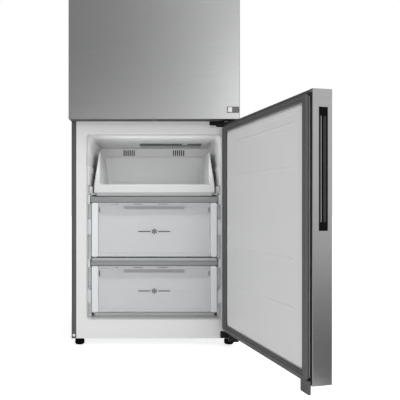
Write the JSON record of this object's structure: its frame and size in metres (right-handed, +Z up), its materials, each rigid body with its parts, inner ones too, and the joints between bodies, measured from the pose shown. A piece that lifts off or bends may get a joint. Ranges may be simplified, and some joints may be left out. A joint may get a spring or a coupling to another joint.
{
  "type": "refrigerator",
  "caption": "Tall two-door refrigerator, freezer compartment at the bottom with its door open, brushed steel doors with side grips, drawers and glass shelves.",
  "frame": {"origin": "centre of the bounding box at floor level, with the freezer door standing open as at rest", "axes": "+Z up, +X to the right of a person facing the doors, +Y from the doors to the back"},
  "size_m": [0.7394, 1.197, 1.85],
  "materials": {
    "brushed_steel": "horizontally brushed stainless look",
    "cabinet_paint": "dark grey satin paint",
    "zinc_sheet": "galvanised sheet",
    "hinge_paint": "black semi-gloss paint",
    "aluminium_fins": "bare aluminium",
    "liner_plastic": "white vacuum-formed plastic, low gloss",
    "grey_trim": "mid grey satin plastic",
    "dark_trim": "dark grey plastic",
    "black_plastic": "black satin plastic",
    "gasket_rubber": "soft dark grey magnetic seal",
    "insulating_foam": "rigid foam",
    "shelf_glass": "clear tempered glass",
    "clear_drawer": "translucent frosted plastic",
    "badge_plate": "grey satin plate"
  },
  "bodies": {
    "cabinet": {"cabinet_wrapper": "cabinet_paint", "rear_panel": "zinc_sheet", "base_pan": "zinc_sheet", "compressor_base": "zinc_sheet", "cabinet_foam": "insulating_foam", "fridge_liner": "liner_plastic", "freezer_liner": "liner_plastic", "middle_hinge": "hinge_paint", "middle_hinge_spacer": "grey_trim", "bottom_hinge": "hinge_paint", "top_hinge": "zinc_sheet", "top_hinge_cover": "dark_trim", "hinge_hole_plug": "liner_plastic", "compressor": "hinge_paint", "drip_tray": "dark_trim", "machine_cover": "zinc_sheet", "cord_gland": "black_plastic", "evaporator_cover": "liner_plastic", "evaporator": "aluminium_fins", "freezer_air_outlet": "grey_trim", "fridge_duct_cover": "liner_plastic", "fridge_light_lens": "clear_drawer", "freezer_shelf_upper_glass": "shelf_glass", "freezer_shelf_upper_trim": "grey_trim", "freezer_shelf_lower_glass": "shelf_glass", "freezer_shelf_lower_trim": "grey_trim", "fridge_shelf_top_glass": "shelf_glass", "fridge_shelf_top_trim": "grey_trim", "fridge_shelf_middle_glass": "shelf_glass", "fridge_shelf_middle_trim": "grey_trim", "crisper_cover_glass": "shelf_glass", "crisper_cover_trim": "grey_trim"},
    "freezer_door": {"freezer_door_skin": "brushed_steel", "freezer_door_foam": "insulating_foam", "freezer_door_bottom_cap": "dark_trim", "freezer_door_top_cap": "dark_trim", "freezer_door_gasket": "gasket_rubber", "freezer_door_grip": "black_plastic", "freezer_door_panel": "liner_plastic", "freezer_door_stop_block": "grey_trim"},
    "fridge_door": {"fridge_door_skin": "brushed_steel", "fridge_door_foam": "insulating_foam", "fridge_door_bottom_cap": "dark_trim", "fridge_door_top_cap": "dark_trim", "fridge_door_gasket": "gasket_rubber", "fridge_door_grip": "black_plastic", "fridge_door_panel": "liner_plastic", "fridge_door_badge": "badge_plate", "door_bin_lower": "clear_drawer", "door_bin_middle": "clear_drawer", "door_bin_upper": "clear_drawer"},
    "freezer_tray": {"freezer_tray": "liner_plastic"},
    "freezer_drawer_upper": {"freezer_drawer_upper": "clear_drawer"},
    "freezer_drawer_lower": {"freezer_drawer_lower": "clear_drawer"},
    "crisper_drawer": {"crisper_drawer": "clear_drawer"},
    "evaporator_fan": {"evaporator_fan": "grey_trim"},
    "levelling_foot_left": {"levelling_foot_left": "black_plastic"},
    "levelling_foot_right": {"levelling_foot_right": "black_plastic"},
    "rear_roller_left": {"rear_roller_left": "black_plastic"},
    "rear_roller_right": {"rear_roller_right": "black_plastic"}
  },
  "joints": [
    {"name": "fridge_door_hinge", "type": "hinge", "parent": "cabinet", "child": "fridge_door", "pos_m": [0.20216, -0.03752, 1.3], "axis": [0, 0, 1], "range_deg": [0, 115]},
    {"name": "freezer_door_hinge", "type": "hinge", "parent": "cabinet", "child": "freezer_door", "pos_m": [0.20216, -0.03752, 0.42], "axis": [0, 0, 1], "range_deg": [-104, 12]},
    {"name": "freezer_tray_slide", "type": "slide", "parent": "cabinet", "child": "freezer_tray", "axis": [0, -1, 0], "range_m": [0, 0.25]},
    {"name": "freezer_drawer_upper_slide", "type": "slide", "parent": "cabinet", "child": "freezer_drawer_upper", "axis": [0, -1, 0], "range_m": [0, 0.3]},
    {"name": "freezer_drawer_lower_slide", "type": "slide", "parent": "cabinet", "child": "freezer_drawer_lower", "axis": [0, -1, 0], "range_m": [0, 0.24]},
    {"name": "crisper_drawer_slide", "type": "slide", "parent": "cabinet", "child": "crisper_drawer", "axis": [0, -1, 0], "range_m": [0, 0.21]},
    {"name": "evaporator_fan_spin", "type": "hinge", "parent": "cabinet", "child": "evaporator_fan", "pos_m": [-0.07224, 0.47248, 0.64], "axis": [0, 1, 0], "continuous": true},
    {"name": "levelling_foot_left_turn", "type": "hinge", "parent": "cabinet", "child": "levelling_foot_left", "pos_m": [-0.34324, 0.02448, 0.012], "axis": [0, 0, 1], "continuous": true},
    {"name": "levelling_foot_right_turn", "type": "hinge", "parent": "cabinet", "child": "levelling_foot_right", "pos_m": [0.19876, 0.02448, 0.012], "axis": [0, 0, 1], "continuous": true},
    {"name": "rear_roller_left_spin", "type": "hinge", "parent": "cabinet", "child": "rear_roller_left", "pos_m": [-0.34224, 0.57148, 0.012], "axis": [1, 0, 0], "continuous": true},
    {"name": "rear_roller_right_spin", "type": "hinge", "parent": "cabinet", "child": "rear_roller_right", "pos_m": [0.19776, 0.57148, 0.012], "axis": [1, 0, 0], "continuous": true}
  ],
  "couplings": [
    {"joint": "crisper_drawer_slide", "follows": "fridge_door_hinge", "m_per_rad": 0.1}
  ]
}
